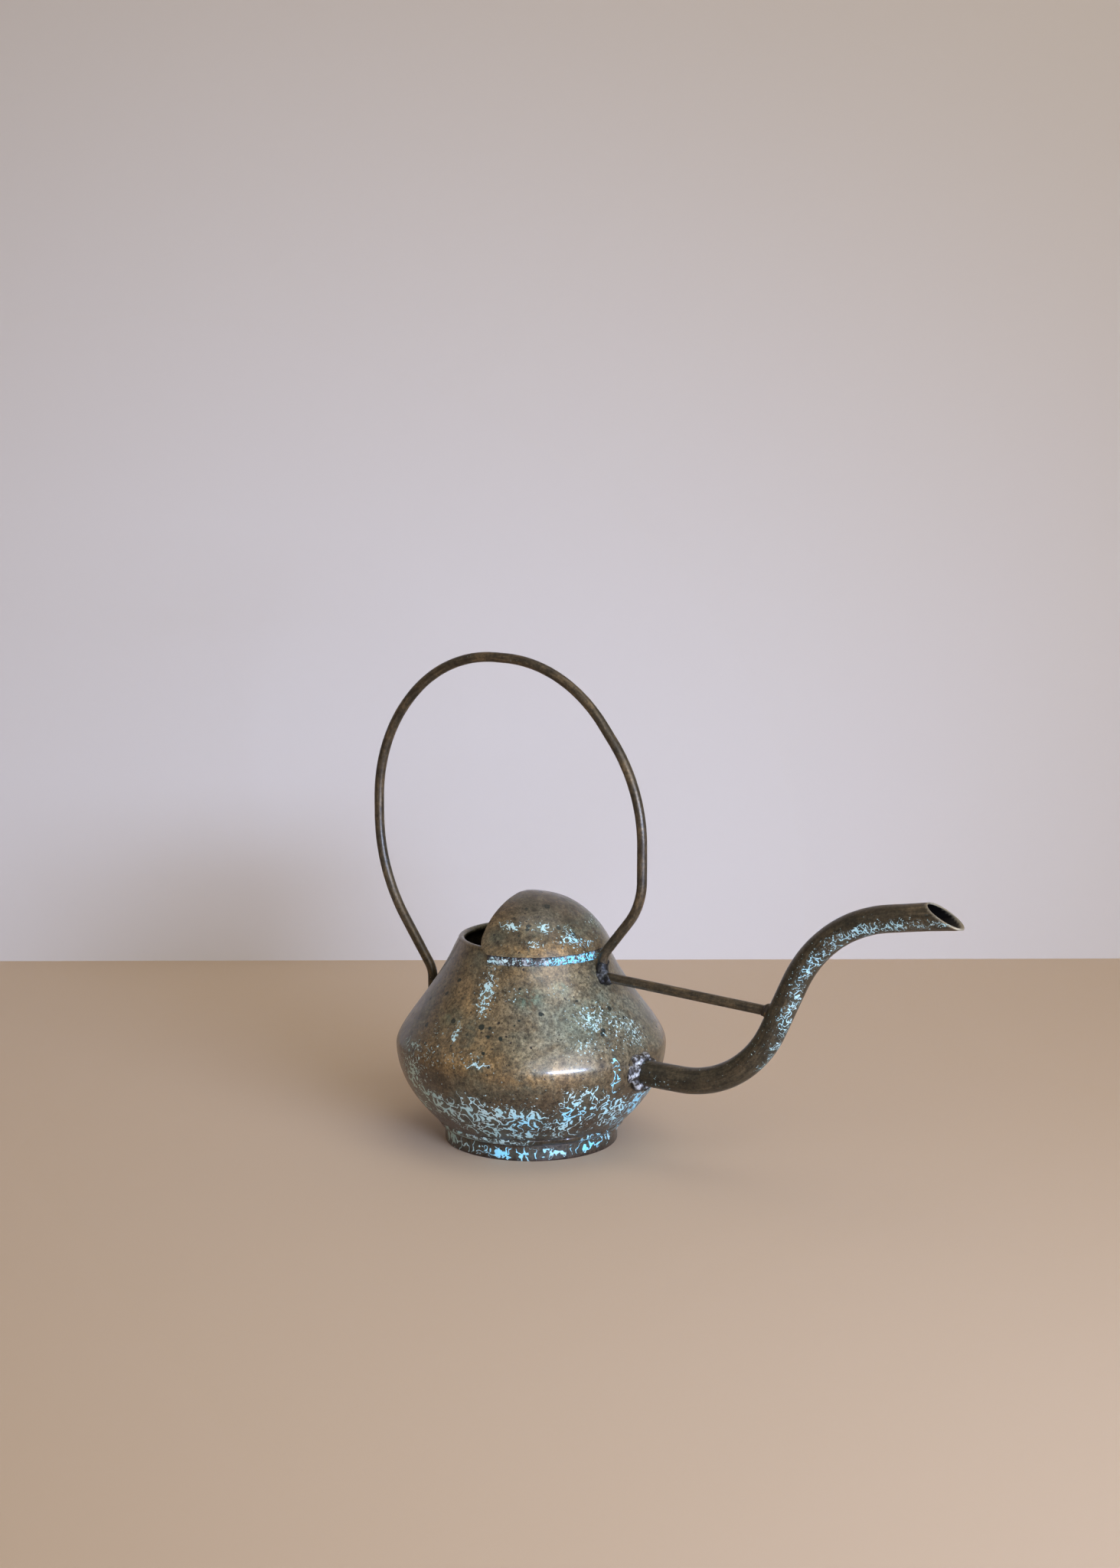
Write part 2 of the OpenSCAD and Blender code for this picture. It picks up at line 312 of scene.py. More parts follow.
def lay_patches(bm, layer_name, patches):
    """Fills a layer with soft patches, each (side in degrees, height, half width, half height, strength)."""
    values = bm.verts.layers.float.new(layer_name)
    for v in bm.verts:
        side = math.degrees(math.atan2(v.co.y, v.co.x))
        radius = math.hypot(v.co.x, v.co.y)
        clear = 1.0
        for at, height, half_w, half_h, strength in patches:
            across = math.radians((side - at + 180) % 360 - 180) * radius / half_w
            up = (v.co.z - height) / half_h
            if across * across + up * up < PATCH_REACH:
                clear *= 1 - strength * math.exp(-(across * across + up * up))
        v[values] = 1 - clear


def stain_bar(bm, layer_name, patches):
    """The same for a bar, where each patch is (length along, turn round it in degrees, half length,
    half turn, strength)."""
    values = bm.verts.layers.float.new(layer_name)
    grain = bm.verts.layers.float_vector["grain"]
    for v in bm.verts:
        turn = math.degrees(math.atan2(v[grain].y, v[grain].x))
        clear = 1.0
        for at, round_at, half_l, half_turn, strength in patches:
            off = (v[grain].z / MM - at) / half_l
            around = ((turn - round_at + 180) % 360 - 180) / half_turn
            if off * off + around * around < PATCH_REACH:
                clear *= 1 - strength * math.exp(-(off * off + around * around))
        v[values] = 1 - clear


# ---------------------------------------------------------------- finishes


def colour(text):
    """A sRGB hex colour as linear values."""
    parts = [int(text[i : i + 2], 16) / 255 for i in (1, 3, 5)]
    return [p / 12.92 if p <= 0.04045 else ((p + 0.055) / 1.055) ** 2.4 for p in parts] + [1.0]


def per(mm):
    """The scale of a pattern whose features are that many millimetres across."""
    return 1 / (mm * MM)


def add(tree, kind, sockets, out=0, **settings):
    """Adds a node with its settings, gives its inputs values or links, and returns one output."""
    node = tree.nodes.new("ShaderNode" + kind)
    for name, value in settings.items():
        setattr(node, name, value)
    for socket, value in sockets.items():
        if isinstance(value, bpy.types.NodeSocket):
            tree.links.new(value, node.inputs[socket])
        else:
            node.inputs[socket].default_value = value
    return node.outputs[out]


def blank(name):
    """A new material with one Principled shader."""
    material = bpy.data.materials.new(name)
    material.use_nodes = True
    return material, material.node_tree, material.node_tree.nodes["Principled BSDF"]


def link_skin(tree, skin, tone, rough, metal, normal):
    """Gives the shader its colour, roughness, share of metal and bumps."""
    inputs = {"Base Color": tone, "Roughness": rough, "Metallic": metal, "Normal": normal}
    for socket, value in inputs.items():
        tree.links.new(value, skin.inputs[socket])


METAL_SHARE = 0.42          # how much of the aged copper still reflects as bare metal
A, B, COLOUR = 6, 7, 2      # sockets of a Mix node that mixes colours
FAC = 2                     # the value of an Attribute node


def spots(tree, spot, spacing_mm, share, gate):
    """Round marks of mixed size, at most one to each spacing. Gate from 0 to 1 says how many show."""
    warp = add(tree, "TexNoise", {"Vector": spot, "Scale": per(2.4), "Detail": 2.0}, 1)
    warped = add(
        tree, "VectorMath", {0: warp, 1: (1.6 * MM, 1.6 * MM, 1.6 * MM), 2: spot}, operation="MULTIPLY_ADD",
    )
    cells = {"Vector": warped, "Scale": per(spacing_mm), "Randomness": 1.0}
    away = add(tree, "TexVoronoi", cells)
    chance = add(tree, "SeparateColor", {0: add(tree, "TexVoronoi", cells, 1)})
    size = add(tree, "Math", {0: chance, 1: gate, 2: -0.1}, operation="MULTIPLY_ADD")
    size = add(tree, "Math", {0: size, 1: share}, operation="MULTIPLY")
    edge = add(tree, "Math", {0: size, 1: away}, operation="SUBTRACT")
    return add(tree, "MapRange", {"Value": edge, "From Min": -0.01, "From Max": 0.05})


def layer(tree, name):
    """The value of one of the layers of stains and painted shade."""
    return add(tree, "Attribute", {}, FAC, attribute_name=name)


def verdigris(tree, spot, base, rough, height, loop_mm=5.4):
    """Lays verdigris over a base: curling lines and a thin film from the layer crust, grains from bloom,
    and a brighter blue from cyan. Returns the colour, the roughness, the metal's share and the height."""
    crust, bloom, cyan = layer(tree, "crust"), layer(tree, "bloom"), layer(tree, "cyan")
    curl = add(tree, "TexNoise", {
        "Vector": spot, "Scale": per(loop_mm), "Detail": 2.0, "Roughness": 0.5, "Distortion": 0.5,
    })
    away = add(tree, "Math", {0: curl, 1: 0.5}, operation="SUBTRACT")
    away = add(tree, "Math", {0: away}, operation="ABSOLUTE")
    patchy = add(tree, "TexNoise", {"Vector": spot, "Scale": per(10), "Detail": 3.0, "Roughness": 0.6})
    broken = add(tree, "TexNoise", {"Vector": spot, "Scale": per(1.4), "Detail": 3.0, "Roughness": 0.65})
    need = add(tree, "MapRange", {"Value": crust, "To Min": 0.78, "To Max": 0.14})
    dense = add(tree, "Math", {0: patchy, 1: need}, operation="SUBTRACT")
    dense = add(tree, "Math", {0: broken, 1: 0.55, 2: dense}, operation="MULTIPLY_ADD")
    width = add(tree, "MapRange", {
        "Value": dense, "From Min": 0.2, "From Max": 0.68, "To Min": -0.01, "To Max": 0.06,
    })
    line = add(tree, "Math", {0: width, 1: away}, operation="SUBTRACT")
    line = add(tree, "MapRange", {"Value": line, "From Min": -0.003, "From Max": 0.008})
    grains = add(tree, "TexNoise", {"Vector": spot, "Scale": per(1.7), "Detail": 2.5, "Roughness": 0.75})
    spare = add(tree, "MapRange", {"Value": bloom, "To Min": 0.725, "To Max": 0.5})
    grains = add(tree, "Math", {0: grains, 1: spare}, operation="SUBTRACT")
    grains = add(tree, "MapRange", {"Value": grains, "From Min": 0.0, "From Max": 0.04})
    mask = add(tree, "Math", {0: line, 1: grains}, operation="MAXIMUM")
    film = add(tree, "Math", {0: crust, 1: patchy}, operation="MULTIPLY")
    film = add(tree, "MapRange", {"Value": film, "From Min": 0.2, "From Max": 0.6, "To Max": 0.3})
    skin = add(tree, "Mix", {0: film, A: base, B: colour("#6e7a6a")}, COLOUR, data_type="RGBA")
    pale = add(tree, "Mix", {0: broken, A: colour("#87a398"), B: colour("#ccd6c6")}, COLOUR, data_type="RGBA")
    bluer = add(tree, "MapRange", {"Value": patchy, "From Min": 0.4, "From Max": 0.65, "To Max": 0.4})
    pale = add(tree, "Mix", {0: bluer, A: pale, B: colour("#86bcb6")}, COLOUR, data_type="RGBA")
    pale = add(tree, "Mix", {0: cyan, A: pale, B: colour("#74cfe2")}, COLOUR, data_type="RGBA")
    skin = add(tree, "Mix", {0: mask, A: skin, B: pale}, COLOUR, data_type="RGBA")
    rough = add(tree, "Mix", {0: mask, 2: rough, 3: 0.88}, 0)
    metal = add(tree, "MapRange", {"Value": mask, "To Min": METAL_SHARE, "To Max": 0.0})
    height = add(tree, "Math", {0: mask, 1: 0.7, 2: height}, operation="MULTIPLY_ADD")
    return skin, rough, metal, height


def contrast(tree, value, low=0.34, high=0.66):
    """Stretches a noise to the whole range from 0 to 1."""
    return add(tree, "MapRange", {"Value": value, "From Min": low, "From Max": high})


def aged_sheet_copper():
    # Sheet copper left outdoors: a brown oxide skin that still shines a little, olive dust where rain sits,
    # rubbed places that show warm copper, fine pits, and verdigris in dried lines. Faces that point up are
    # painted a little lighter and greyer, as dust and a painted reflection of the sky, and faces that point
    # down, with the patches of the layer dark on the vessel, the foot and its bead, are painted in shade.
    material, tree, skin = blank("aged_sheet_copper")
    spot = add(tree, "TexCoord", {}, "Object")
    cloud = add(tree, "TexNoise", {
        "Vector": spot, "Scale": per(26), "Detail": 4.0, "Roughness": 0.6, "Distortion": 0.5,
    })
    blotch = add(tree, "TexNoise", {
        "Vector": spot, "Scale": per(9), "Detail": 5.0, "Roughness": 0.7, "Distortion": 0.9,
    })
    mottle = add(tree, "TexNoise", {"Vector": spot, "Scale": per(4.5), "Detail": 4.0, "Roughness": 0.7})
    mottle = contrast(tree, mottle)
    speckle = add(tree, "TexNoise", {"Vector": spot, "Scale": per(1.5), "Detail": 4.0, "Roughness": 0.8})
    up = add(tree, "SeparateXYZ", {0: add(tree, "NewGeometry", {}, "Normal")}, 2)

    olive = add(tree, "MapRange", {"Value": cloud, "From Min": 0.42, "From Max": 0.6})
    tone = add(tree, "Mix", {0: olive, A: colour("#5b4c33"), B: colour("#524f3b")}, COLOUR, data_type="RGBA")
    rubbed = add(tree, "MapRange", {"Value": blotch, "From Min": 0.38, "From Max": 0.58, "To Min": 0.15})
    rubbed = add(tree, "Math", {0: rubbed, 1: layer(tree, "warm")}, operation="MULTIPLY")
    tone = add(tree, "Mix", {0: rubbed, A: tone, B: colour("#8a6a3c")}, COLOUR, data_type="RGBA")
    # Dust and painted reflection: the patches of the layer dull take grey-olive dust, and faces that point up
    # turn a little lighter and greyer, a painted reflection of the sky.
    dust_and_sky_reflection = add(tree, "MapRange", {"Value": up, "From Min": 0.3, "From Max": 1.0, "To Max": 0.2})
    dust_and_sky_reflection = add(tree, "Math", {0: dust_and_sky_reflection, 1: layer(tree, "dull")}, operation="MAXIMUM")
    dust_and_sky_reflection = add(tree, "Math", {0: dust_and_sky_reflection, 1: contrast(tree, blotch, 0.3, 0.62)}, operation="MULTIPLY")
    tone = add(tree, "Mix", {0: dust_and_sky_reflection, A: tone, B: colour("#7d7c66")}, COLOUR, data_type="RGBA")
    teal = contrast(tree, blotch, 0.4, 0.55)
    teal = add(tree, "Math", {0: layer(tree, "teal"), 1: teal}, operation="MULTIPLY")
    tone = add(tree, "Mix", {0: teal, A: tone, B: colour("#44614f")}, COLOUR, data_type="RGBA")
    # Painted shade: faces that point down are darkened towards #33241a, and so are the patches of the layer
    # dark, which are painted shade on the vessel, the foot and its bead.
    low = add(tree, "MapRange", {"Value": up, "From Min": -0.1, "From Max": -0.6, "To Max": 0.75})
    shade = add(tree, "Math", {0: layer(tree, "dark"), 1: low}, operation="MAXIMUM")
    tone = add(tree, "Mix", {0: shade, A: tone, B: colour("#33241a")}, COLOUR, data_type="RGBA")
    tone = add(tree, "Mix", {0: 0.5, A: tone, B: mottle}, COLOUR, data_type="RGBA", blend_type="OVERLAY")
    fine = contrast(tree, speckle)
    tone = add(tree, "Mix", {0: 0.7, A: tone, B: fine}, COLOUR, data_type="RGBA", blend_type="OVERLAY")

    marks = spots(tree, spot, 6.4, 0.46, layer(tree, "fleck"))
    tone = add(tree, "Mix", {0: marks, A: tone, B: colour("#1f241b")}, COLOUR, data_type="RGBA")
    pits = spots(tree, spot, 3.4, 0.34, contrast(tree, blotch, 0.35, 0.6))
    tone = add(tree, "Mix", {0: pits, A: tone, B: colour("#2a2117")}, COLOUR, data_type="RGBA")

    rough = add(tree, "MapRange", {
        "Value": speckle, "From Min": 0.3, "From Max": 0.7, "To Min": 0.26, "To Max": 0.5,
    })
    rough = add(tree, "Math", {0: dust_and_sky_reflection, 1: 0.3, 2: rough}, operation="MULTIPLY_ADD")
    height = add(tree, "Math", {0: speckle, 1: 0.4}, operation="MULTIPLY")
    height = add(tree, "Math", {0: mottle, 1: 0.3, 2: height}, operation="MULTIPLY_ADD")
    height = add(tree, "Math", {0: pits, 1: -0.6, 2: height}, operation="MULTIPLY_ADD")
    tone, rough, metal, height = verdigris(tree, spot, tone, rough, height)
    normal = add(tree, "Bump", {"Height": height, "Distance": 0.22 * MM, "Strength": 0.7})
    link_skin(tree, skin, tone, rough, metal, normal)
    skin.inputs["Coat Weight"].default_value = 0.5
    skin.inputs["Coat Roughness"].default_value = 0.15
    return material


def drawn_copper(name, base, streak, dark, streak_share):
    # Drawn copper bar or tube, handled for years: dark brown, with rubbed streaks along its length. On the
    # spout, the inside is painted in shade, and the cut lip is painted pale, as rubbed copper with a painted
    # highlight on the edge.
    material, tree, skin = blank(name)
    spot = add(tree, "TexCoord", {}, "Object")
    grain = add(tree, "Attribute", {}, 1, attribute_name="grain")
    long_way = add(tree, "Mapping", {"Vector": grain, "Scale": (1.0, 1.0, 0.12)})
    draw = add(tree, "TexNoise", {"Vector": long_way, "Scale": per(1.6), "Detail": 4.0, "Roughness": 0.7})
    cloud = add(tree, "TexNoise", {"Vector": grain, "Scale": per(14), "Detail": 4.0, "Roughness": 0.65})
    speckle = add(tree, "TexNoise", {"Vector": spot, "Scale": per(1.8), "Detail": 3.0, "Roughness": 0.75})
    worn = add(tree, "Math", {0: draw, 1: 0.5, 2: cloud}, operation="MULTIPLY_ADD")
    worn = add(tree, "MapRange", {"Value": worn, "From Min": 0.72, "From Max": 0.95, "To Max": streak_share})
    tone = add(tree, "Mix", {0: worn, A: colour(base), B: colour(streak)}, COLOUR, data_type="RGBA")
    shade = add(tree, "MapRange", {"Value": cloud, "From Min": 0.45, "From Max": 0.25})
    tone = add(tree, "Mix", {0: shade, A: tone, B: colour(dark)}, COLOUR, data_type="RGBA")
    for strength, noise_value in ((0.35, draw), (0.4, speckle)):
        tone = add(
            tree, "Mix", {0: strength, A: tone, B: contrast(tree, noise_value)}, COLOUR,
            data_type="RGBA", blend_type="OVERLAY",
        )
    # Painted shade: where the layer dark is set, inside the spout, the tube turns near black.
    tone = add(tree, "Mix", {0: layer(tree, "dark"), A: tone, B: colour("#120e0b")}, COLOUR, data_type="RGBA")
    # Rubbed copper and a painted highlight: the cut lip of the spout turns pale.
    tone = add(tree, "Mix", {0: layer(tree, "rub_and_painted_highlight"), A: tone, B: colour("#93866c")}, COLOUR, data_type="RGBA")
    rough = add(tree, "MapRange", {"Value": draw, "To Min": 0.24, "To Max": 0.5})
    height = add(tree, "Math", {0: draw, 1: speckle}, operation="MULTIPLY")
    tone, rough, metal, height = verdigris(tree, spot, tone, rough, height, loop_mm=3.2)
    normal = add(tree, "Bump", {"Height": height, "Distance": 0.2 * MM, "Strength": 0.6})
    link_skin(tree, skin, tone, rough, metal, normal)
    return material


def soft_solder(name, base, light):
    # Tin-lead solder run by hand: dull grey lumps with bright wiped spots and dark flux in the hollows.
    material, tree, skin = blank(name)
    spot = add(tree, "TexCoord", {}, "Object")
    lump = add(tree, "TexNoise", {
        "Vector": spot, "Scale": per(3.2), "Detail": 4.0, "Roughness": 0.65, "Distortion": 0.4,
    })
    fine = add(tree, "TexNoise", {"Vector": spot, "Scale": per(1.0), "Detail": 3.0, "Roughness": 0.7})
    bright = add(tree, "MapRange", {"Value": lump, "From Min": 0.5, "From Max": 0.62})
    tone = add(tree, "Mix", {0: bright, A: colour(base), B: colour(light)}, COLOUR, data_type="RGBA")
    tone = add(tree, "Mix", {0: 0.7, A: tone, B: fine}, COLOUR, data_type="RGBA", blend_type="OVERLAY")
    rough = add(tree, "MapRange", {"Value": fine, "To Min": 0.35, "To Max": 0.7})
    tone, rough, metal, height = verdigris(tree, spot, tone, rough, lump, loop_mm=3.0)
    normal = add(tree, "Bump", {"Height": height, "Distance": 0.4 * MM, "Strength": 0.8})
    link_skin(tree, skin, tone, rough, metal, normal)
    return material


SHEET = aged_sheet_copper()
ROD = drawn_copper("drawn_copper_rod", "#433929", "#745e3e", "#282318", 0.5)
TUBE = drawn_copper("drawn_copper_tube", "#3e3626", "#65543a", "#242219", 0.4)
PALE_SOLDER = soft_solder("soft_solder", "#352e26", "#aaa79f")
BROWN_SOLDER = soft_solder("browned_solder", "#33291c", "#66543a")
DARK_SOLDER = soft_solder("fluxed_solder", "#171411", "#45433d")


# ---------------------------------------------------------------- the vessel

WALL_STEPS, TURN_STEPS = 56, 288


def arc(centre, radius, start, end, count):
    """Points on an arc from one angle to another, in degrees."""
    angles = [math.radians(start + (end - start) * k / count) for k in range(count + 1)]
    return [(centre[0] + radius * math.cos(a), centre[1] + radius * math.sin(a)) for a in angles]


def inward(c, t, by):
    """The point at t on a curve, moved square to it towards the can's axis."""
    ahead, behind = on_curve(c, min(1, t + 0.01)), on_curve(c, max(0, t - 0.01))
    along = (ahead - behind).normalized()
    return on_curve(c, t) + by * Vector((-along.y, along.x))


def dent(co):
    """How far the hand-worked sheet strays at a place, away from the axis."""
    fade = min(1.0, max(0.0, (112 - co.z) / 12)) * min(1.0, max(0.0, (co.z - 11) / 8))
    stray = 0.42 * ripple(co, 34, 3.1) + 0.16 * ripple(co, 13, 7.7) + 0.03 * ripple(co, 4.5, 1.3)
    return Vector((co.x, co.y, 0.5 * (co.z - 60))).normalized() * stray * fade


def copper_vessel():
    ticks = [k / WALL_STEPS for k in range(WALL_STEPS + 1)]
    outer = [on_curve(BOWL, t) for t in ticks] + [on_curve(SHOULDER, t) for t in ticks[1:]]
    inner = [inward(BOWL, t, SHEET_T) for t in ticks]
    inner += [inward(SHOULDER, t, SHEET_T) for t in ticks[1:]]
    neck = [Vector((NECK_R, NECK_Z)).lerp(Vector((LIP_X + LIP_R, LIP_Z)), k / 5) for k in range(1, 5)]
    roll = arc((LIP_X, LIP_Z), LIP_R, 0, 292, 30)
    under = arc((LIP_X, LIP_Z), WIRE_R, 292, 0, 20)
    lip = [Vector(p) for p in roll + under]
    bm = spun_ring([tuple(p) for p in outer + neck + lip + inner[::-1]], TURN_STEPS)
    close_up(bm)
    # the hole that the spout stands in
    behind_spout = []
    for f in bm.faces:
        middle = f.calc_center_median()
        if middle.x > 0 and math.hypot(middle.y, middle.z - SPOUT_Z) < SPOUT_HOLE_R:
            behind_spout.append(f)
    bmesh.ops.delete(bm, geom=behind_spout, context="FACES")
    bmesh.ops.bridge_loops(bm, edges=[e for e in bm.edges if len(e.link_faces) == 1])
    bmesh.ops.recalc_face_normals(bm, faces=bm.faces)
    push(bm, dent)
    lay_patches(bm, "crust", [
        (-120, 30, 12, 7, 0.65), (-102, 30, 17, 9, 0.9), (-86, 29, 20, 11, 0.95), (-70, 28, 14, 9, 0.9),
        (-56, 27, 8, 8, 0.95), (-37, 30, 9, 15, 0.95), (-24, 32, 12, 8, 0.8), (-12, 26, 15, 11, 0.9),
        (6, 32, 11, 18, 0.9), (24, 32, 22, 18, 0.9), (-60, 17, 46, 3, 0.7), (-114, 48, 8, 8, 0.9),
        (-114, 40, 12, 6, 0.7), (-120, 62, 24, 2.5, 0.65), (-16, 52, 4, 16, 0.95), (-77, 59, 9, 3, 0.9),
        (-82, 97, 4.5, 12, 0.8), (-84, 40, 10, 5, 0.75), (-28, 43, 9, 4, 0.8), (-37, 39, 5, 8, 0.9),
        (-56, 30, 12, 7, 0.95), (-92, 72, 3.5, 9, 0.7), (0, 70, 10, 10, 0.7), (-22, 79, 11, 6, 0.7),
        (-156, 32, 18, 14, 0.8), (180, 30, 36, 14, 0.85), (140, 34, 30, 12, 0.9), (100, 28, 34, 12, 0.85),
        (60, 34, 24, 14, 0.85), (150, 62, 20, 8, 0.5), (80, 58, 26, 6, 0.5),
    ])
    lay_patches(bm, "cyan", [
        (-57, 25, 9, 6, 0.6), (-37, 32, 6, 6, 0.7), (-28, 32, 7, 4, 0.5), (6, 30, 14, 16, 0.5),
        (-16, 52, 5, 15, 0.8), (30, 26, 24, 12, 0.6), (120, 24, 30, 8, 0.5), (-8, 14, 12, 4, 0.8),
    ])
    lay_patches(bm, "bloom", [
        (-82, 94, 7, 13, 0.85), (-82, 87, 5, 5, 0.95), (-65, 93, 6, 5, 0.6), (-22, 80, 14, 8, 0.85),
        (-30, 67, 11, 6, 0.7), (-8, 74, 12, 12, 0.6), (3, 70, 9, 9, 0.85), (-104, 72, 10, 5, 0.5),
        (-78, 62, 12, 4, 0.5), (-60, 30, 90, 18, 0.45), (-116, 50, 18, 12, 0.8), (-100, 60, 30, 8, 0.5),
        (-40, 96, 24, 10, 0.35), (170, 80, 20, 12, 0.7), (80, 76, 30, 12, 0.6), (130, 50, 40, 20, 0.4),
    ])
    lay_patches(bm, "warm", [
        (-88, 88, 20, 14, 0.75), (-78, 66, 30, 10, 0.7), (-30, 95, 12, 8, 0.8), (-95, 60, 26, 6, 0.7),
        (-50, 54, 30, 8, 0.6), (150, 70, 30, 20, 0.5), (40, 60, 30, 10, 0.5), (-60, 104, 20, 4, 0.5),
    ])
    lay_patches(bm, "dull", [
        (-34, 84, 34, 16, 0.65), (-40, 68, 30, 8, 0.35), (-140, 84, 26, 22, 0.45), (-150, 62, 20, 8, 0.5),
        (10, 76, 30, 20, 0.6), (90, 84, 50, 22, 0.6), (-170, 90, 30, 16, 0.4),
    ])
    lay_patches(bm, "teal", [
        (-56, 92, 7, 4, 0.9), (-34, 97, 5, 4, 0.6), (-100, 80, 8, 4, 0.5), (-22, 82, 16, 8, 0.5),
        (-130, 60, 18, 5, 0.5), (-112, 32, 30, 6, 0.4), (60, 84, 24, 9, 0.6), (160, 84, 24, 9, 0.6),
    ])
    # Painted shade: the layer dark darkens the left side, away from the light, and the lower bowl.
    lay_patches(bm, "dark", [
        (-138, 42, 36, 22, 0.9), (-108, 46, 28, 9, 0.6), (-118, 20, 30, 8, 0.8), (-62, 17, 60, 4, 0.8),
        (-64, 38, 14, 5, 0.5), (-30, 22, 12, 4, 0.4), (120, 36, 60, 14, 0.4), (-140, 84, 26, 28, 0.5),
    ])
    lay_patches(bm, "fleck", [
        (-125, 80, 34, 26, 0.95), (-20, 80, 40, 20, 0.8), (-84, 78, 34, 26, 0.8), (110, 80, 70, 26, 0.85),
    ])
    finish_piece(bm, "copper_vessel", SHEET, ["vessel_shell"])


copper_vessel()

# ---------------------------------------------------------------- the foot


ALL_ROUND = 900             # the half width of a patch that is as strong all round the foot


def foot_band():
    inside = FOOT_R - FOOT_T
    low, high, inner = 0.7, 0.35, 0.5   # how round its edges are: below, above and inside below
    outline = (
        arc((FOOT_R - low, low), low, -90, 0, 5)
        + [(FOOT_R, low + (FOOT_H - high - low) * k / 7) for k in range(1, 7)]
        + arc((FOOT_R - high, FOOT_H - high), high, 0, 90, 3)
        + arc((inside + high, FOOT_H - high), high, 90, 180, 3)
        + [(inside, FOOT_H / 2)]
        + arc((inside + inner, inner), inner, 180, 270, 3)
    )
    bm = spun_ring(outline, TURN_STEPS)
    close_up(bm)

    def waver(co):
        return Vector((co.x, co.y, 0)).normalized() * 0.16 * ripple(co, 17, 5.5) * min(1, co.z / 2)

    push(bm, waver)
    lay_patches(bm, "crust", [
        (-122, 6, 14, 5, 1.0), (-102, 5, 14, 4, 1.0), (-74, 4, 13, 4, 1.0), (-55, 4.5, 12, 4.5, 0.95),
        (-36, 3.5, 8, 3, 0.7), (-16, 5, 16, 3.5, 1.0), (6, 6, 12, 4, 0.8), (40, 5, 24, 4, 0.8),
        (120, 5, 60, 4, 0.85), (-160, 5, 24, 4, 0.7),
    ])
    lay_patches(bm, "cyan", [
        (-70, 4, 14, 5, 0.8), (-14, 5.5, 18, 5, 0.9), (-50, 4, 8, 4, 0.4), (110, 5, 30, 5, 0.6),
    ])
    # Painted shade: the whole band, which sits under the belly, is darkened, most of all at its bottom edge
    # on the floor and its top edge under the bead.
    lay_patches(bm, "dark", [
        (-54, 4, ALL_ROUND, 9, 0.8), (-54, 0.5, ALL_ROUND, 1.2, 0.9), (-54, FOOT_H, ALL_ROUND, 0.8, 0.9),
    ])
    finish_piece(bm, "foot_band", SHEET, ["foot_ring"])


def foot_bead():
    outline = [
        (47.2, 9.2), (48.1, 8.9), (48.9, 9.1), (49.7, 9.6), (50.5, 10.2), (51.2, 10.9), (51.9, 11.8),
        (52.3, 12.6), (52.2, 13.2), (51.4, 13.0), (50.0, 11.8), (48.6, 10.6),
    ]
    bm = spun_ring(outline, 420)
    close_up(bm)
    swell(bm, lambda co: 0.05 + 0.32 * ripple(co, 5.5, 2.2) + 0.12 * ripple(co, 2.1, 8.4))
    lay_patches(bm, "crust", [
        (-100, 11, 22, 4, 1.0), (-76, 11, 22, 4, 1.0), (-8, 11, 24, 4, 0.8), (40, 11, 30, 4, 0.8),
        (130, 11, 70, 4, 0.8),
    ])
    lay_patches(bm, "cyan", [(0, 11, 24, 4, 0.7), (40, 11, 20, 4, 0.7), (130, 11, 50, 4, 0.5)])
    lay_patches(bm, "bloom", [(-88, 11, 30, 3, 0.9)])
    # Painted shade: the bead, in the crevice under the belly, is darkened all round.
    lay_patches(bm, "dark", [(-54, 11, ALL_ROUND, 9, 0.7)])
    finish_piece(bm, "foot_bead", SHEET, ["foot_solder"])


foot_band()
foot_bead()

# ---------------------------------------------------------------- the hood


def hood_edge_x(z):
    """Where the hood's open edge stands at a height, with its rounded lower corner."""
    up = z - HOOD_Z
    if up >= HOOD_CORNER_R:
        return -HOOD_BACK
    return -HOOD_BACK + HOOD_CORNER_R - math.sqrt(max(0, HOOD_CORNER_R**2 - (HOOD_CORNER_R - up) ** 2))


def dome_at_height(z):
    """How far along its curve the dome has that height."""
    low, high = 0.0, 1.0
    for _ in range(40):
        mid = (low + high) / 2
        low, high = (mid, high) if on_curve(DOME, mid).y < z else (low, mid)
    return low


